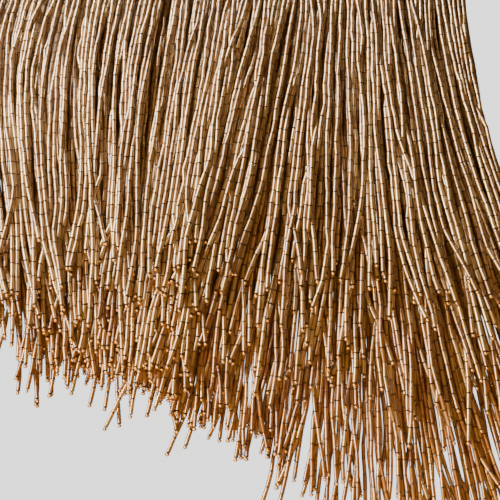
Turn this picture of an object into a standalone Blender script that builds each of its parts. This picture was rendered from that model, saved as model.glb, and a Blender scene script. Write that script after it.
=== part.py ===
"""Beaded fringe trim: three tiers of bead strands, each tier on its own narrow heading tape.

Units are metres, +Z is up, +X runs along the heading and -Y is the face side. The origin is the middle
of the heading's top edge. A tier is one solid: its tape, with two staggered lines of strands that start
in the tape's lower edge and hang apart below it.
"""
import bpy
import bmesh
import numpy as np

# Heading
HEADING_WIDTH = 0.236
HEADING_RISE = 0.010
HEADING_BOW = 0.012          # how far the middle of the heading stands in front of its ends
HEADING_FACETS = 9
TAPE_THICKNESS = 0.0026
TAPE_GAP = 0.0004            # between two tapes lying back to back

# Strands
STRANDS_PER_TIER = 99
STRAND_SIDE = 0.0016         # side of a strand's square section
ROOT_WIDTH = 0.0015
LINE_PITCH = 0.0027          # depth between two lines of strands where they hang free
FLARE_DROP = 0.020           # the lines have spread to that pitch this far below the tape
TIER_STAGGER = 1.0 / 3.0     # each tier hangs this share of a strand's place further along than the last
TIP_UNEVENNESS = 0.006
HEM_SEED = 11

# The hang: near the heading the strands come forward as they fall, lower down they fall plumb
HEAD_SLOPE = np.radians(8.0)
SLOPE_END = 0.220
BELLY_DROP = 0.150           # the soft folds have their full depth this far below the tape
PATH_STEP = 0.0025
LEAN_DROPS = np.array([0.030, 0.106, 0.165, 0.219, 0.264])

# One row for each place along the heading, with how its strands lean sideways at the five drops (degrees,
# plus is towards +X), how far they belly towards the face, and how long each tier's strands are there
GUIDE_COLUMNS = ("at", "lean_1", "lean_2", "lean_3", "lean_4", "lean_5", "belly", "front", "middle", "back")
GUIDES = (
    (0.000, -6, 10, 11, 10, 9, 0.001, 0.176, 0.184, 0.187),
    (0.068, -6, 10, 11, 10, 9, 0.001, 0.176, 0.184, 0.187),
    (0.085, -6, 9, 10, 9, 8, -0.001, 0.178, 0.196, 0.212),
    (0.115, -6, 9, 10, 8, 7, -0.001, 0.180, 0.198, 0.214),
    (0.200, -5, 7, 8, 6, 5, 0.0015, 0.177, 0.200, 0.215),
    (0.300, -6, 3, 4, 3, 2, -0.0015, 0.181, 0.203, 0.216),
    (0.400, -6, -2, 0, 0, 0, 0.000, 0.181, 0.206, 0.218),
    (0.500, -8, -8, -7, -6, -6, 0.0015, 0.181, 0.210, 0.224),
    (0.615, -9, -11, -12, -11, -10, 0.000, 0.184, 0.218, 0.236),
    (0.690, -6, -7, -7, -8, -9, -0.0015, 0.187, 0.219, 0.252),
    (0.755, -3, -2, -1, -2, -2, -0.001, 0.187, 0.222, 0.268),
    (0.825, -2, 2, 5, 7, 8, 0.0015, 0.191, 0.227, 0.280),
    (0.916, -2, 6, 11, 13, 14, 0.000, 0.194, 0.231, 0.285),
    (1.000, -3, 8, 14, 17, 18, -0.001, 0.197, 0.229, 0.286),
)

# One row for each tier, face side first: the drops of its strands' bends and its colour
TIER_COLUMNS = ("node", "column", "bends", "colour", "roughness")
TIERS = (
    ("tier_front", "front", (0.065, 0.120), (0.83, 0.62, 0.34, 1.0), 0.24),
    ("tier_middle", "middle", (0.065, 0.120, 0.170), (0.74, 0.50, 0.23, 1.0), 0.26),
    ("tier_back", "back", (0.065, 0.120, 0.170), (0.66, 0.41, 0.16, 1.0), 0.28),
)


def guide_values(name, at):
    """The guide table's column at places along the heading, straight between its rows."""
    table = np.array(GUIDES)
    return np.interp(at, table[:, 0], table[:, GUIDE_COLUMNS.index(name)])


def heading_point(at):
    """Plan of the heading's mid line: a shallow arc, made of flat facets, its middle nearest the face side."""
    corners = np.linspace(0.0, 1.0, HEADING_FACETS + 1)
    arc_y = HEADING_BOW * (2.0 * corners - 1.0) ** 2
    middle_y = arc_y[HEADING_FACETS // 2]
    x = (np.asarray(at) - 0.5) * HEADING_WIDTH
    y = np.interp(at, corners, arc_y - middle_y)
    return x, y


def strand_path(root_at, at, depth_root, depth_hang, drops):
    """Points of one strand at the given drops: the sideways and forward slopes summed over short steps."""
    steps = np.arange(0.0, drops[-1] + PATH_STEP, PATH_STEP)
    leans = [guide_values(f"lean_{n}", at) for n in range(1, len(LEAN_DROPS) + 1)]
    lean = np.radians(np.interp(steps, LEAN_DROPS, leans))
    slope = HEAD_SLOPE * np.clip(1.0 - steps / SLOPE_END, 0.0, 1.0)
    side = np.cumsum(np.sin(lean)) * PATH_STEP
    fall = np.cumsum(np.cos(lean) * np.cos(slope)) * PATH_STEP
    forward = np.cumsum(np.cos(lean) * np.sin(slope)) * PATH_STEP
    fold = np.clip(steps / BELLY_DROP, 0.0, 1.0)
    forward = forward + guide_values("belly", at) * fold * fold * (3.0 - 2.0 * fold)
    flare = np.clip(np.asarray(drops) / FLARE_DROP, 0.0, 1.0)
    root_x, root_y = heading_point(root_at)
    hang_x, hang_y = heading_point(at)
    return np.column_stack((
        root_x + (hang_x - root_x) * flare + np.interp(drops, steps, side),
        root_y + (hang_y - root_y) * flare + depth_root + (depth_hang - depth_root) * flare
        - np.interp(drops, steps, forward),
        -HEADING_RISE - np.interp(drops, steps, fall),
    ))


def strand_lengths(column):
    """Lengths of one tier's strands: the guide table's, with an uneven hem and a stray long one now and then."""
    rng = np.random.default_rng(HEM_SEED + GUIDE_COLUMNS.index(column))
    at = strand_places()
    uneven = rng.uniform(-1.0, 1.0, STRANDS_PER_TIER) * TIP_UNEVENNESS
    stray = rng.uniform(0.0, 1.0, STRANDS_PER_TIER) ** 6 * 2.0 * TIP_UNEVENNESS
    return guide_values(column, at) + uneven + stray


def strand_places():
    """Places of a tier's strands along the heading, from 0 to 1, one in the middle of each equal share."""
    return (np.arange(STRANDS_PER_TIER) + 0.5) / STRANDS_PER_TIER


def tape_stations():
    """Places along the heading where the tape's lower edge has points: facet corners and root sides."""
    half = 0.5 * ROOT_WIDTH / HEADING_WIDTH
    corners = np.linspace(0.0, 1.0, HEADING_FACETS + 1)
    places = strand_places()
    return np.sort(np.concatenate((corners, places - half, places + half))), corners


def add_tape(mesh, tier_y):
    """Adds the tape's top, ends, face and back, and returns its lower edge's vertices, three to a station."""
    stations, corners = tape_stations()
    half = 0.5 * TAPE_THICKNESS
    lower = []
    for at in stations:
        x, y = heading_point(at)
        lower.append([mesh.verts.new((x, y + tier_y + d, -HEADING_RISE)) for d in (-half, 0.0, half)])
    upper = []
    for at in corners:
        x, y = heading_point(at)
        upper.append([mesh.verts.new((x, y + tier_y + d, 0.0)) for d in (-half, half)])
    for facet in range(HEADING_FACETS):
        first = int(np.searchsorted(stations, corners[facet] - 1e-9))
        last = int(np.searchsorted(stations, corners[facet + 1] - 1e-9))
        left, right = upper[facet], upper[facet + 1]
        mesh.faces.new((left[0], right[0], right[1], left[1]))
        add_fan(mesh, [row[0] for row in lower[first:last + 1]], left[0], right[0])
        add_fan(mesh, [row[2] for row in reversed(lower[first:last + 1])], right[1], left[1])
    mesh.faces.new((upper[0][0], upper[0][1], lower[0][2], lower[0][1], lower[0][0]))
    mesh.faces.new((upper[-1][1], upper[-1][0], lower[-1][0], lower[-1][1], lower[-1][2]))
    return stations, lower


def add_fan(mesh, edge, left, right):
    """One flat side of a facet: its lower edge joined in fans to the facet's two top corners."""
    middle = len(edge) // 2
    for n in range(middle):
        mesh.faces.new((left, edge[n], edge[n + 1]))
    mesh.faces.new((left, edge[middle], right))
    for n in range(middle, len(edge) - 1):
        mesh.faces.new((right, edge[n], edge[n + 1]))


def add_strand(mesh, root, path):
    """Carries a root's four vertices down a path as a square strand and closes its tip."""
    half = 0.5 * STRAND_SIDE
    ring = root
    for point in path:
        sides = ((-half, -half), (half, -half), (half, half), (-half, half))
        new_ring = [mesh.verts.new((point[0] + dx, point[1] + dy, point[2])) for dx, dy in sides]
        for n in range(4):
            following = (n + 1) % 4
            mesh.faces.new((ring[n], new_ring[n], new_ring[following], ring[following]))
        ring = new_ring
    mesh.faces.new(tuple(reversed(ring)))


def tier_material(node, colour, roughness):
    """Gold glass beads: a warm metallic colour with a smooth surface."""
    material = bpy.data.materials.new(node + "_beads")
    material.use_nodes = True
    shader = material.node_tree.nodes["Principled BSDF"]
    shader.inputs["Base Color"].default_value = colour
    shader.inputs["Roughness"].default_value = roughness
    shader.inputs["Metallic"].default_value = 0.8
    return material


def build_tier(index, tier):
    """One tier: its tape, and its strands in two staggered lines, the even ones on the face side."""
    tier_step = index - (len(TIERS) - 1) / 2
    tier_y = tier_step * (TAPE_THICKNESS + TAPE_GAP)
    mesh = bmesh.new()
    stations, lower = add_tape(mesh, tier_y)
    places = strand_places()
    lengths = strand_lengths(tier["column"])
    half_root = 0.5 * ROOT_WIDTH / HEADING_WIDTH
    starts = np.searchsorted(stations, places - half_root - 1e-9)
    roots = {int(start): n for n, start in enumerate(starts)}
    for cell in range(len(stations) - 1):
        a, b = lower[cell], lower[cell + 1]
        strand = roots.get(cell)
        for line in (0, 1):
            quad = (a[line], a[line + 1], b[line + 1], b[line])
            if strand is None or strand % 2 != line:
                mesh.faces.new(quad)
                continue
            depth_root = tier_y + (line - 0.5) * 0.5 * TAPE_THICKNESS
            depth_hang = (2 * index + line - len(TIERS) + 0.5) * LINE_PITCH
            drops = (FLARE_DROP, *tier["bends"], lengths[strand])
            hang_at = places[strand] + tier_step * TIER_STAGGER / STRANDS_PER_TIER
            path = strand_path(places[strand], hang_at, depth_root, depth_hang, drops)
            add_strand(mesh, (a[line], b[line], b[line + 1], a[line + 1]), path)
    data = bpy.data.meshes.new(tier["node"])
    mesh.to_mesh(data)
    mesh.free()
    data.materials.append(tier_material(tier["node"], tier["colour"], tier["roughness"]))
    piece = bpy.data.objects.new(tier["node"], data)
    bpy.context.scene.collection.objects.link(piece)


for old in list(bpy.data.objects):
    bpy.data.objects.remove(old, do_unlink=True)

for number, row in enumerate(TIERS):
    build_tier(number, dict(zip(TIER_COLUMNS, row)))
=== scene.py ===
"""Beaded fringe trim: gold glass tube beads threaded in long strands, in three stepped tiers, each tier
hanging from its own woven heading tape. Metres, +Z up, +X along the heading, -Y the face side."""
import bpy
import numpy as np
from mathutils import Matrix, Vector


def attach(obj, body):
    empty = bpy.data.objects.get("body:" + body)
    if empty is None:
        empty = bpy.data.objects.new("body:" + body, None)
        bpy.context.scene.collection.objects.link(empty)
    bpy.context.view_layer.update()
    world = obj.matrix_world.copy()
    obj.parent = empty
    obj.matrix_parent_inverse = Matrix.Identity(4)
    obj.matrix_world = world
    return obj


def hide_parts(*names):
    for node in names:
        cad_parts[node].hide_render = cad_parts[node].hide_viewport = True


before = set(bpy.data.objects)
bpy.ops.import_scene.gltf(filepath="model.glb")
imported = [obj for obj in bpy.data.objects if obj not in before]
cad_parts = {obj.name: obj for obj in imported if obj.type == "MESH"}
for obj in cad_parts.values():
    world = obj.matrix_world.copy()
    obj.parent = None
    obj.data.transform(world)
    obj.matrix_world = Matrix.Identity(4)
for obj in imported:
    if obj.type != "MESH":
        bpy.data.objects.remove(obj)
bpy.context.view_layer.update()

# Heading tapes. Three narrow tapes of twilled gold-brown cotton lie back to back and follow a shallow bow.
# Each is woven flat, pressed, and holds one tier: the strands' threads come out of its lower edge.
TIERS = ("front", "middle", "back")
HEADING_WIDTH = 0.236
HEADING_RISE = 0.010
HEADING_BOW = 0.012
HEADING_FACETS = 9
TAPE_THICKNESS = 0.0026
TAPE_GAP = 0.0004
TAPE_EDGE = 0.0004
TAPE_ROWS = 161
TAPE_UV_STEP = (0.0018, 0.0015)


def heading_point(at):
    """x runs evenly along the heading; y is a parabola of height HEADING_BOW, taken straight between the
    facet corners, and zero at the middle facet."""
    corners = np.linspace(0.0, 1.0, HEADING_FACETS + 1)
    arc_y = HEADING_BOW * (2.0 * corners - 1.0) ** 2
    x = (np.asarray(at) - 0.5) * HEADING_WIDTH
    return x, np.interp(at, corners, arc_y - arc_y[HEADING_FACETS // 2])


def tape_mesh(name, points):
    """A closed mesh from a grid of points, rows along the tape by columns round it. Face (i, j) joins points
    (i, j), (i, j+1), (i+1, j+1) and (i+1, j), the last column joins the first, and one face closes each
    end. Its UV is (column, row) times TAPE_UV_STEP, so a pattern on it follows the surface in metres."""
    rows, columns = points.shape[:2]
    i, j = np.meshgrid(np.arange(rows - 1), np.arange(columns), indexing="ij")
    following = (j + 1) % columns
    corners = np.stack((i * columns + j, i * columns + following,
                        (i + 1) * columns + following, (i + 1) * columns + j), axis=-1).reshape(-1, 4)
    uv = np.stack((np.stack((j, j + 1, j + 1, j), axis=-1) * TAPE_UV_STEP[0],
                   np.stack((i, i, i + 1, i + 1), axis=-1) * TAPE_UV_STEP[1]), axis=-1).reshape(-1, 2)
    faces = [tuple(face) for face in corners]
    faces.append(tuple(range(columns))[::-1])
    faces.append(tuple((rows - 1) * columns + np.arange(columns)))
    uv = np.concatenate((uv, np.zeros((2 * columns, 2))))
    mesh = bpy.data.meshes.new(name)
    mesh.from_pydata(points.reshape(-1, 3), [], faces)
    mesh.uv_layers.new(name="UVMap").data.foreach_set("uv", uv.astype(np.float32).ravel())
    mesh.update()
    return mesh


def add_piece(name, mesh, material):
    """Puts a finished mesh into the scene as one piece that rides with the whole trim."""
    piece = bpy.data.objects.new(name, mesh)
    bpy.context.scene.collection.objects.link(piece)
    mesh.materials.append(material)
    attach(piece, "root")
    return piece


def tape_material():
    """Twill: diagonal ribs from the sum of the two UV directions, times slubs from noise, on a matt cloth."""
    material = bpy.data.materials.new("heading_twill")
    material.use_nodes = True
    nodes, links = material.node_tree.nodes, material.node_tree.links
    shader = nodes["Principled BSDF"]
    shader.inputs["Roughness"].default_value = 0.72
    shader.inputs["Sheen Weight"].default_value = 0.35
    uv = nodes.new("ShaderNodeUVMap")
    uv.uv_map = "UVMap"
    rib = nodes.new("ShaderNodeTexWave")
    rib.wave_type = "BANDS"
    rib.bands_direction = "DIAGONAL"
    rib.inputs["Scale"].default_value = 420.0
    rib.inputs["Distortion"].default_value = 0.6
    rib.inputs["Detail"].default_value = 1.0
    slub = nodes.new("ShaderNodeTexNoise")
    slub.inputs["Scale"].default_value = 900.0
    slub.inputs["Detail"].default_value = 3.0
    cloth = nodes.new("ShaderNodeMath")
    cloth.operation = "MULTIPLY"
    ramp = nodes.new("ShaderNodeValToRGB")
    ramp.color_ramp.elements[0].color = (0.16, 0.095, 0.04, 1.0)
    ramp.color_ramp.elements[1].color = (0.58, 0.41, 0.21, 1.0)
    ramp.color_ramp.elements[1].position = 0.55
    bump = nodes.new("ShaderNodeBump")
    bump.inputs["Strength"].default_value = 0.6
    bump.inputs["Distance"].default_value = 0.0002
    links.new(uv.outputs["UV"], rib.inputs["Vector"])
    links.new(uv.outputs["UV"], slub.inputs["Vector"])
    links.new(rib.outputs["Fac"], cloth.inputs[0])
    links.new(slub.outputs["Fac"], cloth.inputs[1])
    links.new(cloth.outputs["Value"], ramp.inputs["Fac"])
    links.new(ramp.outputs["Color"], shader.inputs["Base Color"])
    links.new(cloth.outputs["Value"], bump.inputs["Height"])
    links.new(bump.outputs["Normal"], shader.inputs["Normal"])
    return material


def tape_points(tier_y):
    """A flat tape's section, a rectangle with bevelled edges, carried along the heading."""
    half = 0.5 * TAPE_THICKNESS
    e = TAPE_EDGE
    section = np.array([
        (-half, -e), (-half, -0.33 * HEADING_RISE), (-half, -0.66 * HEADING_RISE), (-half, e - HEADING_RISE),
        (e - half, -HEADING_RISE), (0.0, -HEADING_RISE), (half - e, -HEADING_RISE),
        (half, e - HEADING_RISE), (half, -0.66 * HEADING_RISE), (half, -0.33 * HEADING_RISE), (half, -e),
        (half - e, 0.0), (0.0, 0.0), (e - half, 0.0)])
    x, y = heading_point(np.linspace(0.0, 1.0, TAPE_ROWS))
    points = np.empty((TAPE_ROWS, len(section), 3))
    points[:, :, 0] = x[:, None]
    points[:, :, 1] = y[:, None] + tier_y + section[None, :, 0]
    points[:, :, 2] = section[None, :, 1]
    return points


twill = tape_material()
for index, tier in enumerate(TIERS):
    tape_y = (index - 1) * (TAPE_THICKNESS + TAPE_GAP)
    name = f"heading_tape_{tier}"
    tape = add_piece(name, tape_mesh(name, tape_points(tape_y)), twill)
    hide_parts(f"tier_{tier}")

# Bead strands. Tubes of silver-lined gold glass, 6 mm long and 1.7 to 2 mm across, are threaded end to end
# and hang from the tapes in two staggered lines to a tier. The front tier is the shortest, the back the
# longest and made of the thinnest tubes. Every random draw below is seeded.
BEAD_PITCH = 0.00615
BEAD_RADIUS = {"front": 0.00099, "middle": 0.00091, "back": 0.00083}
BEAD_SIDES = 8
STRANDS_IN = {"front": 180, "middle": 240, "back": 390}
JOINT_GAP = {"front": 0.020, "middle": 0.017, "back": 0.012}
FIRST_BEAD_DROP = 0.0012
FIRST_BEAD_SLACK = 0.0030
PITCH_SPREAD = 0.02
WIDTH_SPREAD = (0.95, 1.03)
LINE_PITCH = 0.0027
FLARE_DROP = 0.020
TIER_STAGGER = 1.0 / 3.0
TIP_UNEVENNESS = {"front": 0.014, "middle": 0.012, "back": 0.005}
CROWDING = ((0.0, 0.40, 0.85, 1.0), (0.0, 0.50, 0.84, 1.0))
STRAY_SHARE = 0.3
STRAY_LENGTH = 0.017
SWAY_WAVE = 0.150
SWAY_SIZE = 0.0005
SMALL_TURN = 0.7
LARGE_TURN = 4.5
LARGE_TURN_SHARE = 0.09
JOINT_PLAY = 0.00024
KINK_MEMORY = 0.72
KINK_SIZE = {"front": 1.0, "middle": 0.8, "back": 0.6}
SWING = 0.3
ODD_SWING = 6.0
ODD_SHARE = 0.14
ODD_DROPS = (0.08, 0.17)
TIP_SWING = 7.0
TIP_SWING_DROP = 0.035
CLEARANCE = 1.03
PUSH_ROUNDS = 12
LOCKS = ((0.030, 0.0018), (0.018, 0.0010), (0.010, 0.0005))
LOCK_SIZE = {"front": 1.0, "middle": 0.7, "back": 0.2}
HEM_SEED = 11
HEAD_SLOPE = np.radians(8.0)
SLOPE_END = 0.220
BELLY_DROP = 0.150
LEAN_DROPS = np.array([0.030, 0.106, 0.165, 0.219, 0.264])

# How the fringe hangs at places along the heading: lean in degrees at five drops, how far it bellies
# towards the face, and each tier's length there
GUIDE_COLUMNS = ("at", "lean_1", "lean_2", "lean_3", "lean_4", "lean_5", "belly", "front", "middle", "back")
GUIDES = np.array((
    (0.000, -6, 10, 11, 10, 9, 0.001, 0.176, 0.184, 0.187),
    (0.068, -6, 10, 11, 10, 9, 0.001, 0.176, 0.184, 0.187),
    (0.085, -6, 9, 10, 9, 8, -0.001, 0.178, 0.196, 0.212),
    (0.115, -6, 9, 10, 8, 7, -0.001, 0.180, 0.198, 0.214),
    (0.200, -5, 7, 8, 6, 5, 0.0015, 0.177, 0.200, 0.215),
    (0.300, -6, 3, 4, 3, 2, -0.0015, 0.181, 0.203, 0.216),
    (0.400, -6, -2, 0, 0, 0, 0.000, 0.181, 0.206, 0.218),
    (0.500, -8, -8, -7, -6, -6, 0.0015, 0.181, 0.210, 0.224),
    (0.615, -9, -11, -12, -11, -10, 0.000, 0.184, 0.218, 0.236),
    (0.690, -6, -7, -7, -8, -9, -0.0015, 0.187, 0.219, 0.252),
    (0.755, -3, -2, -1, -2, -2, -0.001, 0.187, 0.222, 0.268),
    (0.825, -2, 2, 5, 7, 8, 0.0015, 0.191, 0.227, 0.280),
    (0.916, -2, 6, 11, 13, 14, 0.000, 0.194, 0.231, 0.285),
    (1.000, -3, 8, 14, 17, 18, -0.001, 0.197, 0.229, 0.286),
))


def guide_values(name, at):
    """The guide table's column at places along the heading, straight between its rows."""
    return np.interp(at, GUIDES[:, 0], GUIDES[:, GUIDE_COLUMNS.index(name)])


def strand_lengths(tier):
    """Each strand's length: the table's, plus an even spread either way, and for some a longer stray end."""
    rng = np.random.default_rng(HEM_SEED + GUIDE_COLUMNS.index(tier))
    count = STRANDS_IN[tier]
    at = np.interp((np.arange(count) + 0.5) / count, CROWDING[0], CROWDING[1])
    uneven = rng.uniform(-1.0, 1.0, count) * TIP_UNEVENNESS[tier]
    stray = rng.uniform(0.0, 1.0, count) * STRAY_LENGTH * (rng.uniform(0.0, 1.0, count) < STRAY_SHARE)
    return guide_values(tier, at) + uneven + stray


def kinks(rng, strands, joints):
    """Sideways offsets of a strand that bends a little at each joint: each bead's lean is a share of the
    last one's plus a random turn, now and then a larger one, and the leans are summed down the strand."""
    turn = rng.normal(0.0, SMALL_TURN, (strands, joints))
    large = rng.normal(0.0, LARGE_TURN, (strands, joints))
    turn += large * (rng.uniform(0.0, 1.0, (strands, joints)) < LARGE_TURN_SHARE)
    j = np.arange(joints)
    memory = np.where(j[:, None] >= j[None, :], KINK_MEMORY ** np.maximum(j[:, None] - j[None, :], 0), 0.0)
    return np.cumsum(np.tan(np.radians(turn @ memory.T)), axis=1) * BEAD_PITCH


def smooth_walk(rng, strands, joints):
    """Slow random sways: for each strand the sum of two sines along its length, of about SWAY_WAVE and
    SWAY_SIZE, growing from nothing at the root."""
    drop = np.arange(joints) * BEAD_PITCH
    total = np.zeros((strands, joints))
    for share in (1.0, 0.6):
        size = rng.normal(0.0, SWAY_SIZE * share, (strands, 1))
        length = SWAY_WAVE * share * rng.uniform(0.7, 1.4, (strands, 1))
        total += size * np.sin(2.0 * np.pi * (drop / length + rng.uniform(0.0, 1.0, (strands, 1))))
    return total * np.clip(drop / 0.040, 0.0, 1.0)


def locks(rng, at, joints, size):
    """Sideways offsets that gather neighbouring strands into locks with gaps between: the sum of sines of
    the place along the heading, whose phase drifts down the drop, growing from nothing at the root."""
    drop = np.arange(joints) * BEAD_PITCH
    total = np.zeros((len(at), joints))
    for wave, amount in LOCKS:
        phase = rng.uniform(0.0, 1.0) + rng.normal(0.0, 1.5) * drop[None, :]
        bend = 0.30 * np.sin(2.0 * np.pi * (at * HEADING_WIDTH / (2.7 * wave) + rng.uniform(0.0, 1.0)))
        bend = bend[:, None]
        turns = at[:, None] * HEADING_WIDTH / (wave * rng.uniform(0.85, 1.2))
        total += size * amount * np.sin(2.0 * np.pi * (turns + bend + phase))
    return total * np.clip((drop - 0.010) / 0.060, 0.0, 1.0)


def hang(index, lengths, joints, rng):
    """Joint points of a tier's strands, strands by joints by three. Each strand follows the guide table's
    lean and forward slope, summed joint by joint, plus its own sway, and its line's depth."""
    strands = len(lengths)
    places = np.interp((np.arange(strands) + 0.5) / strands, CROWDING[0], CROWDING[1])
    at = places + (index - 1) * TIER_STAGGER / strands
    line = np.arange(strands) % 2
    drop = FIRST_BEAD_DROP + np.arange(joints) * BEAD_PITCH
    table = np.stack([guide_values(f"lean_{n + 1}", at) for n in range(len(LEAN_DROPS))], axis=-1)
    place = np.clip(np.searchsorted(LEAN_DROPS, drop) - 1, 0, len(LEAN_DROPS) - 2)
    share = np.clip((drop - LEAN_DROPS[place]) / (LEAN_DROPS[place + 1] - LEAN_DROPS[place]), 0.0, 1.0)
    lean = np.radians(table[:, place] * (1.0 - share) + table[:, place + 1] * share)
    slope = HEAD_SLOPE * np.clip(1.0 - drop / SLOPE_END, 0.0, 1.0)
    side = np.cumsum(np.sin(lean), axis=1) * BEAD_PITCH
    fall = np.cumsum(np.cos(lean) * np.cos(slope), axis=1) * BEAD_PITCH
    forward = np.cumsum(np.cos(lean) * np.sin(slope), axis=1) * BEAD_PITCH
    fold = np.clip(drop / BELLY_DROP, 0.0, 1.0)
    forward += guide_values("belly", at)[:, None] * fold * fold * (3.0 - 2.0 * fold)
    flare = np.clip(drop / FLARE_DROP, 0.0, 1.0)
    root_x, root_y = heading_point(places)
    hang_x, hang_y = heading_point(at)
    depth_root = (index - 1) * (TAPE_THICKNESS + TAPE_GAP) + (line - 0.5) * 0.5 * TAPE_THICKNESS
    depth_hang = (2 * index + line - len(TIERS) + 0.5) * LINE_PITCH
    points = np.empty((strands, joints, 3))
    points[:, :, 0] = root_x[:, None] + (hang_x - root_x)[:, None] * flare + side
    points[:, :, 1] = (root_y[:, None] + (hang_y - root_y)[:, None] * flare + depth_root[:, None]
                       + (depth_hang - depth_root)[:, None] * flare - forward)
    points[:, :, 2] = -HEADING_RISE - FIRST_BEAD_DROP + fall[:, :1] - fall
    points[:, :, 0] += smooth_walk(rng, strands, joints)
    points[:, :, 0] += KINK_SIZE[TIERS[index]] * kinks(rng, strands, joints) * flare
    points[:, :, 0] += locks(rng, at, joints, LOCK_SIZE[TIERS[index]])
    points[:, :, 1] += smooth_walk(rng, strands, joints)
    swing = rng.normal(0.0, SWING, (strands, 1))
    points[:, :, 0] += np.tan(np.radians(swing)) * np.maximum(drop - FLARE_DROP, 0.0)
    odd = rng.normal(0.0, ODD_SWING, (strands, 1)) * (rng.uniform(0.0, 1.0, (strands, 1)) < ODD_SHARE)
    odd_from = rng.uniform(*ODD_DROPS, (strands, 1))
    points[:, :, 0] += np.tan(np.radians(odd)) * np.maximum(drop - odd_from, 0.0)
    tip = rng.normal(0.0, TIP_SWING, (strands, 1))
    points[:, :, 0] += np.tan(np.radians(tip)) * np.maximum(drop - lengths[:, None] + TIP_SWING_DROP, 0.0)
    return points


def push_apart(points, lengths, radii):
    """Settles the strands so that no two take the same place. At each joint level every pair closer than
    their two radii is pushed apart along the line between them, and the pushes are smoothed down a strand."""
    strands, joints = points.shape[:2]
    level = np.arange(joints)
    hanging = level[None, :] * BEAD_PITCH < lengths[:, None] + BEAD_PITCH
    free = np.clip(level * BEAD_PITCH / FLARE_DROP, 0.0, 1.0)
    for _ in range(PUSH_ROUNDS):
        push = np.zeros((strands, joints, 2))
        for j in range(1, joints):
            here = np.nonzero(hanging[:, j])[0]
            place = points[here, j, :2]
            gap = place[:, None, :] - place[None, :, :]
            far = np.sqrt((gap ** 2).sum(axis=-1)) + 1e-9
            apart = CLEARANCE * (radii[here][:, None] + radii[here][None, :])
            want = np.clip(apart - far, 0.0, None) * (far < apart)
            np.fill_diagonal(want, 0.0)
            push[here, j] = 0.5 * (gap / far[:, :, None] * want[:, :, None]).sum(axis=1)
        for _ in range(2):
            push[:, 1:-1] = 0.25 * push[:, :-2] + 0.5 * push[:, 1:-1] + 0.25 * push[:, 2:]
        points[:, :, :2] += push * free[None, :, None]
    return points


def draw_taut(points):
    """Keeps each bead its real length: every joint is set one pitch from the last, towards its own place."""
    for j in range(1, points.shape[1]):
        way = points[:, j] - points[:, j - 1]
        points[:, j] = points[:, j - 1] + way * (BEAD_PITCH / np.linalg.norm(way, axis=1))[:, None]
    return points


def joints_along(points, first, pitch):
    """Joint points of each strand's beads: the place on its line at first + k * pitch, where the line's
    points lie one BEAD_PITCH apart."""
    count = int((points.shape[1] - 1.001) * BEAD_PITCH / pitch.max())
    along = (first[:, None] + np.arange(count) * pitch[:, None]) / BEAD_PITCH
    along = np.minimum(along, points.shape[1] - 1.001)
    level = along.astype(int)
    share = (along - level)[:, :, None]
    strand = np.arange(len(points))[:, None]
    return points[strand, level] * (1.0 - share) + points[strand, level + 1] * share


def joined_copies(name, points, faces):
    """One mesh of many copies of a small shape. Row n of points is copy n's own points; faces lists one
    copy's faces, as numbers of its points, and copy n's are the same plus n times the points in a copy."""
    count, each = points.shape[:2]
    one = np.concatenate(faces)
    sizes = np.array([len(face) for face in faces])
    loops = (np.arange(count)[:, None] * each + one[None, :]).ravel()
    starts = np.concatenate(([0], np.cumsum(np.tile(sizes, count))[:-1]))
    mesh = bpy.data.meshes.new(name)
    mesh.vertices.add(count * each)
    mesh.vertices.foreach_set("co", points.astype(np.float32).ravel())
    mesh.loops.add(len(loops))
    mesh.loops.foreach_set("vertex_index", loops.astype(np.int32))
    mesh.polygons.add(len(starts))
    mesh.polygons.foreach_set("loop_start", starts.astype(np.int32))
    return mesh


def tube_beads(name, start, end, radius, tone):
    """One mesh of many closed tubes. A point is start + (end - start) * v + radius * (cos a * p + sin a *
    q), with p and q square to the tube; v is 0 or 1, a goes round it, and both cut ends are flat."""
    count, turns = len(start), BEAD_SIDES
    axis = end - start
    direction = axis / np.linalg.norm(axis, axis=1)[:, None]
    p = np.cross(np.array([0.0, 1.0, 0.0]), direction)
    p /= np.linalg.norm(p, axis=1)[:, None]
    q = np.cross(direction, p)
    angle = np.arange(turns) * 2.0 * np.pi / turns
    around = np.cos(angle)[None, :, None] * p[:, None, :] + np.sin(angle)[None, :, None] * q[:, None, :]
    v = np.array([0.0, 1.0])
    points = (start[:, None, None, :] + axis[:, None, None, :] * v[None, :, None, None]
              + around[:, None, :, :] * radius[:, None, None, None])
    j = np.arange(turns)
    after = (j + 1) % turns
    sides = np.stack((j, after, turns + after, turns + j), axis=-1)
    mesh = joined_copies(name, points.reshape(count, 2 * turns, 3), [*sides, j[::-1], turns + j])
    side_uv = np.stack((np.stack((j, j + 1, j + 1, j), axis=-1) / turns,
                        np.tile((0.0, 0.0, 1.0, 1.0), (turns, 1))), axis=-1).reshape(-1, 2)
    cap_uv = np.concatenate((np.tile((0.5, 0.0), (turns, 1)), np.tile((0.5, 1.0), (turns, 1))))
    uv = np.tile(np.concatenate((side_uv, cap_uv)), (count, 1))
    mesh.uv_layers.new(name="UVMap").data.foreach_set("uv", uv.astype(np.float32).ravel())
    shade = mesh.attributes.new("tone", "FLOAT", "POINT")
    shade.data.foreach_set("value", np.repeat(tone, 2 * turns).astype(np.float32))
    mesh.update(calc_edges=True)
    mesh.shade_smooth()
    mesh.set_sharp_from_angle(angle=np.radians(50.0))
    return mesh


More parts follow.
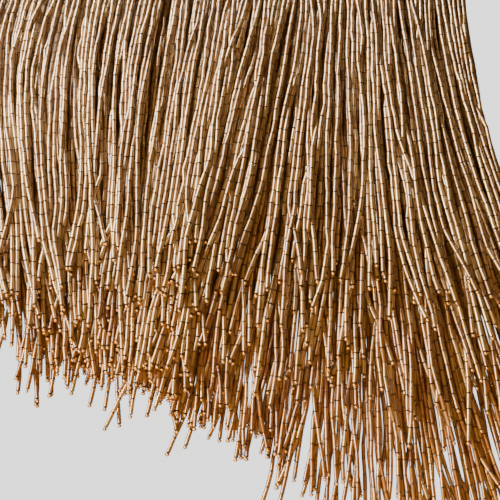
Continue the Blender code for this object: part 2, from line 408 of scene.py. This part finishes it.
def glass_gold(name, stops):
    """Silver-lined gold glass. The body is the lining seen through the glass, a satin metal whose colour
    and roughness go with each bead's own tone, finely streaked along the tube. The coat is the smooth
    outer glass with its sharp white shine. Near the bead's cut ends both stop: the body is painted dark
    brown, partly the dark look of the cut glass ends, partly painted shade between the beads."""
    material = bpy.data.materials.new(name)
    material.use_nodes = True
    nodes, links = material.node_tree.nodes, material.node_tree.links
    shader = nodes["Principled BSDF"]
    shader.inputs["Metallic"].default_value = 0.60
    shader.inputs["Transmission Weight"].default_value = 0.55
    shader.inputs["Coat IOR"].default_value = 1.85
    shader.inputs["Coat Roughness"].default_value = 0.06
    tone = nodes.new("ShaderNodeAttribute")
    tone.attribute_name = "tone"
    ramp = nodes.new("ShaderNodeValToRGB")
    ramp.color_ramp.elements[0].color = stops[0]
    ramp.color_ramp.elements[1].color = stops[2]
    middle = ramp.color_ramp.elements.new(0.5)
    middle.color = stops[1]
    rough = nodes.new("ShaderNodeMapRange")
    rough.inputs["To Min"].default_value = 0.42
    rough.inputs["To Max"].default_value = 0.26
    place = nodes.new("ShaderNodeTexCoord")
    stretch = nodes.new("ShaderNodeMapping")
    stretch.inputs["Scale"].default_value = (1.0, 1.0, 0.08)
    lining = nodes.new("ShaderNodeTexNoise")
    lining.inputs["Scale"].default_value = 1800.0
    lining.inputs["Detail"].default_value = 1.0
    streak = nodes.new("ShaderNodeMapRange")
    streak.inputs["From Min"].default_value = 0.3
    streak.inputs["From Max"].default_value = 0.7
    streak.inputs["To Min"].default_value = 0.86
    streak.inputs["To Max"].default_value = 1.06
    streaked = nodes.new("ShaderNodeMix")
    streaked.data_type = "RGBA"
    streaked.blend_type = "MULTIPLY"
    streaked.inputs[0].default_value = 1.0
    uv = nodes.new("ShaderNodeUVMap")
    uv.uv_map = "UVMap"
    split = nodes.new("ShaderNodeSeparateXYZ")
    # Mask of each bead's ends, from the UV along the tube. There the body is painted dark brown: partly the
    # dark look of the cut glass ends, partly painted shade between the beads.
    joint = nodes.new("ShaderNodeValToRGB")
    for position, level in ((0.015, 0.0), (0.040, 1.0), (0.960, 1.0), (0.985, 0.0)):
        stop = joint.color_ramp.elements.new(position)
        stop.color = (level, level, level, 1.0)
    joint.color_ramp.elements[0].color = (0.0, 0.0, 0.0, 1.0)
    joint.color_ramp.elements[5].color = (0.0, 0.0, 0.0, 1.0)
    dark_end_and_shade = nodes.new("ShaderNodeMix")
    dark_end_and_shade.data_type = "RGBA"
    dark_end_and_shade.inputs[6].default_value = (0.06, 0.022, 0.006, 1.0)
    links.new(tone.outputs["Fac"], ramp.inputs["Fac"])
    links.new(tone.outputs["Fac"], rough.inputs["Value"])
    links.new(rough.outputs["Result"], shader.inputs["Roughness"])
    links.new(place.outputs["Object"], stretch.inputs["Vector"])
    links.new(stretch.outputs["Vector"], lining.inputs["Vector"])
    links.new(lining.outputs["Fac"], streak.inputs["Value"])
    links.new(ramp.outputs["Color"], streaked.inputs[6])
    links.new(streak.outputs["Result"], streaked.inputs[7])
    links.new(uv.outputs["UV"], split.inputs["Vector"])
    links.new(split.outputs["Y"], joint.inputs["Fac"])
    links.new(joint.outputs["Color"], dark_end_and_shade.inputs[0])
    # The same mask takes the coat's white shine off near the ends, as painted shade.
    links.new(joint.outputs["Color"], shader.inputs["Coat Weight"])
    links.new(streaked.outputs[2], dark_end_and_shade.inputs[7])
    links.new(dark_end_and_shade.outputs[2], shader.inputs["Base Color"])
    return material


rng = np.random.default_rng(2016)
LENGTHS = [strand_lengths(tier) for tier in TIERS]
longest = int(max(lengths.max() for lengths in LENGTHS) / BEAD_PITCH) + 5
hung = np.concatenate([hang(index, LENGTHS[index], longest, rng) for index in range(len(TIERS))])
radii = np.concatenate([np.full(STRANDS_IN[tier], BEAD_RADIUS[tier]) for tier in TIERS])
hung = push_apart(hung, np.concatenate(LENGTHS), radii)
hung[:, 3:, :2] += rng.normal(0.0, JOINT_PLAY, hung[:, 3:, :2].shape)
hung = draw_taut(hung)
tier_ends = np.cumsum([len(lengths) for lengths in LENGTHS])[:-1]
first = rng.uniform(0.0, FIRST_BEAD_SLACK, len(hung))
pitch = BEAD_PITCH * np.clip(rng.normal(1.0, PITCH_SPREAD, len(hung)), 0.95, 1.05)
STRANDS = np.split(joints_along(hung, first, pitch), tier_ends)
ROOTS, FIRSTS, PITCHES = (np.split(column, tier_ends) for column in (hung[:, 0], first, pitch))
# Each tier's gold: dark, middle and light stops, picked by each bead's tone. The middle and back golds have
# less green and blue, so they are redder and darker: painted shade for the strands deeper in the fringe.
TIER_GOLDS_WITH_PAINTED_SHADE = {
    "front": ((0.22, 0.085, 0.013, 1.0), (0.39, 0.200, 0.050, 1.0), (0.56, 0.365, 0.14, 1.0)),
    "middle": ((0.22, 0.074, 0.009, 1.0), (0.39, 0.178, 0.036, 1.0), (0.55, 0.330, 0.10, 1.0)),
    "back": ((0.22, 0.066, 0.007, 1.0), (0.39, 0.158, 0.026, 1.0), (0.54, 0.295, 0.07, 1.0)),
}
PARTS = ("left", "middle", "right")
TONE = 0.48
STRAND_TONE_SPREAD = 0.18
BEAD_TONE_SPREAD = 0.20
bead_counts = []
for index, tier in enumerate(TIERS):
    gold = glass_gold(f"bead_gold_{tier}", TIER_GOLDS_WITH_PAINTED_SHADE[tier])
    counts = np.floor((LENGTHS[index] - FIRSTS[index] - 0.5 * BEAD_PITCH) / PITCHES[index]).astype(int)
    bead_counts.append(counts)
    strand_tone = rng.normal(TONE, STRAND_TONE_SPREAD, len(counts))
    for part, chosen in zip(PARTS, np.array_split(np.arange(len(counts)), len(PARTS))):
        strand = np.repeat(chosen, counts[chosen])
        bead = np.concatenate([np.arange(counts[n]) for n in chosen])
        upper = STRANDS[index][strand, bead]
        lower = STRANDS[index][strand, bead + 1]
        gap = JOINT_GAP[tier] * rng.uniform(0.6, 1.4, len(strand))[:, None]
        start, end = upper + (lower - upper) * gap, lower + (upper - lower) * gap
        radius = BEAD_RADIUS[tier] * rng.uniform(*WIDTH_SPREAD, len(strand))
        tone = np.clip(strand_tone[strand] + rng.normal(0.0, BEAD_TONE_SPREAD, len(strand)), 0.0, 1.0)
        name = f"tube_beads_{tier}_{part}"
        beads = add_piece(name, tube_beads(name, start, end, radius, tone), gold)
        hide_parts(f"tier_{tier}")

# Thread. One brown thread runs through each strand from the tape, shows at the joints, goes through the
# last round bead and is knotted under it.
THREAD_RADIUS = 0.00020
SEED_DROP = 0.0008
SEED_HEIGHT = 0.0015


def thread_runs(name, routes, radius):
    """Thin three-sided tubes: each route's points are carried with a triangle across them, level with the
    ground, and closed at both ends."""
    mesh = bpy.data.meshes.new(name)
    angle = np.arange(3) * 2.0 * np.pi / 3.0
    offset = np.stack((np.cos(angle), np.sin(angle), np.zeros(3)), axis=-1) * radius
    verts, faces, base = [], [], 0
    for route in routes:
        rows = len(route)
        verts.append((route[:, None, :] + offset[None]).reshape(-1, 3))
        i, j = np.meshgrid(np.arange(rows - 1), np.arange(3), indexing="ij")
        after = (j + 1) % 3
        quads = np.stack((i * 3 + j, (i + 1) * 3 + j, (i + 1) * 3 + after, i * 3 + after), axis=-1)
        faces.extend(map(tuple, quads.reshape(-1, 4) + base))
        faces.append((base, base + 1, base + 2))
        faces.append((base + rows * 3 - 1, base + rows * 3 - 2, base + rows * 3 - 3))
        base += rows * 3
    mesh.from_pydata(np.concatenate(verts), [], faces)
    mesh.update()
    return mesh


def thread_material():
    """Bonded bead thread: brown, slightly shiny, darker in its twist."""
    material = bpy.data.materials.new("bead_thread")
    material.use_nodes = True
    nodes, links = material.node_tree.nodes, material.node_tree.links
    shader = nodes["Principled BSDF"]
    shader.inputs["Roughness"].default_value = 0.55
    place = nodes.new("ShaderNodeTexCoord")
    twist = nodes.new("ShaderNodeTexWave")
    twist.bands_direction = "DIAGONAL"
    twist.inputs["Scale"].default_value = 1400.0
    ramp = nodes.new("ShaderNodeValToRGB")
    ramp.color_ramp.elements[0].color = (0.07, 0.03, 0.01, 1.0)
    ramp.color_ramp.elements[1].color = (0.32, 0.17, 0.06, 1.0)
    links.new(place.outputs["Object"], twist.inputs["Vector"])
    links.new(twist.outputs["Fac"], ramp.inputs["Fac"])
    links.new(ramp.outputs["Color"], shader.inputs["Base Color"])
    return material


thread = thread_material()
seed_places, seed_ways = [], []
for index, tier in enumerate(TIERS):
    routes = []
    seed_places.append([])
    seed_ways.append([])
    for root, strand, count in zip(ROOTS[index], STRANDS[index], bead_counts[index]):
        last = strand[count]
        way = (last - strand[count - 1]) / np.linalg.norm(last - strand[count - 1])
        top = root + np.array([0.0, 0.0, FIRST_BEAD_DROP + 0.0003])
        end = last + way * (SEED_DROP + 0.5 * SEED_HEIGHT)
        routes.append(np.concatenate((top[None], strand[:count:2], last[None], end[None])))
        seed_places[index].append(last + way * SEED_DROP)
        seed_ways[index].append(way)
    name = f"thread_{tier}"
    piece = add_piece(name, thread_runs(name, routes, THREAD_RADIUS), thread)
    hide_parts(f"tier_{tier}")

# Round end beads. A small amber glass bead at each strand's end holds the tubes on: the thread goes round
# it and back up. They are squashed balls, 1.9 mm across.
SEED_RADIUS = 0.00088
SEED_SIDES = 8
SEED_LEVELS = 5


def round_beads(name, places, ways, size):
    """Many squashed balls in one mesh. A point is place + way * height * cos b + radius * sin b * (cos a *
    p + sin a * q); b runs from pole to pole, each pole is one point with a fan of triangles."""
    p = np.cross(np.array([0.0, 1.0, 0.0]), ways)
    p /= np.linalg.norm(p, axis=1)[:, None]
    q = np.cross(ways, p)
    a = np.arange(SEED_SIDES) * 2.0 * np.pi / SEED_SIDES
    b = np.arange(1, SEED_LEVELS) * np.pi / SEED_LEVELS
    around = np.cos(a)[None, :, None] * p[:, None] + np.sin(a)[None, :, None] * q[:, None]
    half = 0.5 * SEED_HEIGHT * size[:, None] * ways
    reach = SEED_RADIUS * size[:, None, None, None] * around[:, None]
    body = (places[:, None, None, :] - np.cos(b)[None, :, None, None] * half[:, None, None]
            + np.sin(b)[None, :, None, None] * reach)
    points = np.concatenate(((places - half)[:, None], body.reshape(len(places), -1, 3),
                             (places + half)[:, None]), axis=1)
    i, j = np.meshgrid(np.arange(SEED_LEVELS - 2), np.arange(SEED_SIDES), indexing="ij")
    k = (j + 1) % SEED_SIDES
    rows = 1 + i * SEED_SIDES
    sides = np.stack((rows + j, rows + k, rows + SEED_SIDES + k, rows + SEED_SIDES + j), axis=-1)
    last = 1 + (SEED_LEVELS - 2) * SEED_SIDES
    top = np.stack((0 * j[0], 1 + k[0], 1 + j[0]), axis=-1)
    bottom = np.stack((last + j[0], last + k[0], 0 * j[0] + points.shape[1] - 1), axis=-1)
    mesh = joined_copies(name, points, [*top, *sides.reshape(-1, 4), *bottom])
    mesh.update(calc_edges=True)
    mesh.shade_smooth()
    return mesh


def amber_glass():
    """Clear amber glass, a little deeper in places, with bubbles as a faint unevenness."""
    material = bpy.data.materials.new("amber_glass")
    material.use_nodes = True
    nodes, links = material.node_tree.nodes, material.node_tree.links
    shader = nodes["Principled BSDF"]
    shader.inputs["Metallic"].default_value = 0.7
    shader.inputs["Roughness"].default_value = 0.20
    shader.inputs["Coat Weight"].default_value = 0.8
    shader.inputs["Coat IOR"].default_value = 1.6
    shader.inputs["Coat Roughness"].default_value = 0.03
    place = nodes.new("ShaderNodeTexCoord")
    cloud = nodes.new("ShaderNodeTexNoise")
    cloud.inputs["Scale"].default_value = 700.0
    ramp = nodes.new("ShaderNodeValToRGB")
    ramp.color_ramp.elements[0].color = (0.24, 0.085, 0.010, 1.0)
    ramp.color_ramp.elements[1].color = (0.44, 0.22, 0.04, 1.0)
    links.new(place.outputs["Object"], cloud.inputs["Vector"])
    links.new(cloud.outputs["Fac"], ramp.inputs["Fac"])
    links.new(ramp.outputs["Color"], shader.inputs["Base Color"])
    return material


amber = amber_glass()
for tier, places, ways in zip(TIERS, seed_places, seed_ways):
    size = rng.uniform(0.85, 1.12, len(places))
    name = f"round_beads_{tier}"
    beads = add_piece(name, round_beads(name, np.array(places), np.array(ways), size), amber)
    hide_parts(f"tier_{tier}")

# Camera, floor and light. The camera is below the fringe's middle and looks up along it; a tall soft
# light stands near the fringe's left end, a wide warm one lies below it, and the room is plain and pale.
CAMERA_PLACE = (0.0095, -0.366, -0.328)
CAMERA_PITCH = 24.0
CAMERA_ANGLE = 30.0
camera_data = bpy.data.cameras.new("camera")
camera_data.sensor_fit = "HORIZONTAL"
camera_data.angle = np.radians(CAMERA_ANGLE)
camera_data.clip_start = 0.01
camera = bpy.data.objects.new("camera", camera_data)
camera.location = CAMERA_PLACE
camera.rotation_euler = (np.radians(90.0 + CAMERA_PITCH), 0.0, 0.0)
bpy.context.scene.collection.objects.link(camera)
bpy.context.scene.camera = camera

floor_mesh = bpy.data.meshes.new("floor")
floor_mesh.from_pydata([(-4, -4, -0.6), (4, -4, -0.6), (4, 4, -0.6), (-4, 4, -0.6)], [], [(0, 1, 2, 3)])
floor = bpy.data.objects.new("floor", floor_mesh)
bpy.context.scene.collection.objects.link(floor)
floor_material = bpy.data.materials.new("pale_floor")
floor_material.use_nodes = True
floor_material.node_tree.nodes["Principled BSDF"].inputs["Base Color"].default_value = (0.62, 0.62, 0.61, 1.0)
floor_material.node_tree.nodes["Principled BSDF"].inputs["Roughness"].default_value = 0.9
floor_mesh.materials.append(floor_material)


def soft_light(name, place, aim, size, power, colour):
    """A rectangular light of the given width and height that faces its aim."""
    data = bpy.data.lights.new(name, "AREA")
    data.shape = "RECTANGLE"
    data.size, data.size_y = size
    data.energy = power
    data.color = colour
    light = bpy.data.objects.new(name, data)
    light.location = place
    light.rotation_euler = (Vector(aim) - Vector(place)).to_track_quat("-Z", "Y").to_euler()
    bpy.context.scene.collection.objects.link(light)


soft_light("window", (-0.42, -0.36, 0.235), (-0.02, 0.0, 0.0), (0.24, 1.0), 23.0, (1.0, 0.97, 0.92))
soft_light("lamp", (-0.14, -0.30, -0.50), (-0.04, 0.0, -0.24), (0.60, 0.35), 10.0, (1.0, 0.74, 0.44))

world = bpy.data.worlds.new("pale_room")
bpy.context.scene.world = world
world.use_nodes = True
nodes, links = world.node_tree.nodes, world.node_tree.links
seen = nodes["Background"]
seen.inputs["Color"].default_value = (0.78, 0.78, 0.77, 1.0)
seen.inputs["Strength"].default_value = 2.5
around = nodes.new("ShaderNodeBackground")
around.inputs["Strength"].default_value = 0.22
direction = nodes.new("ShaderNodeTexCoord")
split = nodes.new("ShaderNodeSeparateXYZ")
sides = nodes.new("ShaderNodeMapRange")
sides.inputs["From Min"].default_value = -1.0
room = nodes.new("ShaderNodeValToRGB")
room.color_ramp.elements[0].color = (0.80, 0.66, 0.48, 1.0)
room.color_ramp.elements[1].color = (0.16, 0.08, 0.04, 1.0)
front = room.color_ramp.elements.new(0.5)
front.color = (0.80, 0.62, 0.42, 1.0)
path = nodes.new("ShaderNodeLightPath")
choose = nodes.new("ShaderNodeMixShader")
links.new(direction.outputs["Generated"], split.inputs["Vector"])
links.new(split.outputs["X"], sides.inputs["Value"])
links.new(sides.outputs["Result"], room.inputs["Fac"])
links.new(room.outputs["Color"], around.inputs["Color"])
links.new(path.outputs["Is Camera Ray"], choose.inputs["Fac"])
links.new(around.outputs["Background"], choose.inputs[1])
links.new(seen.outputs["Background"], choose.inputs[2])
links.new(choose.outputs["Shader"], nodes["World Output"].inputs["Surface"])
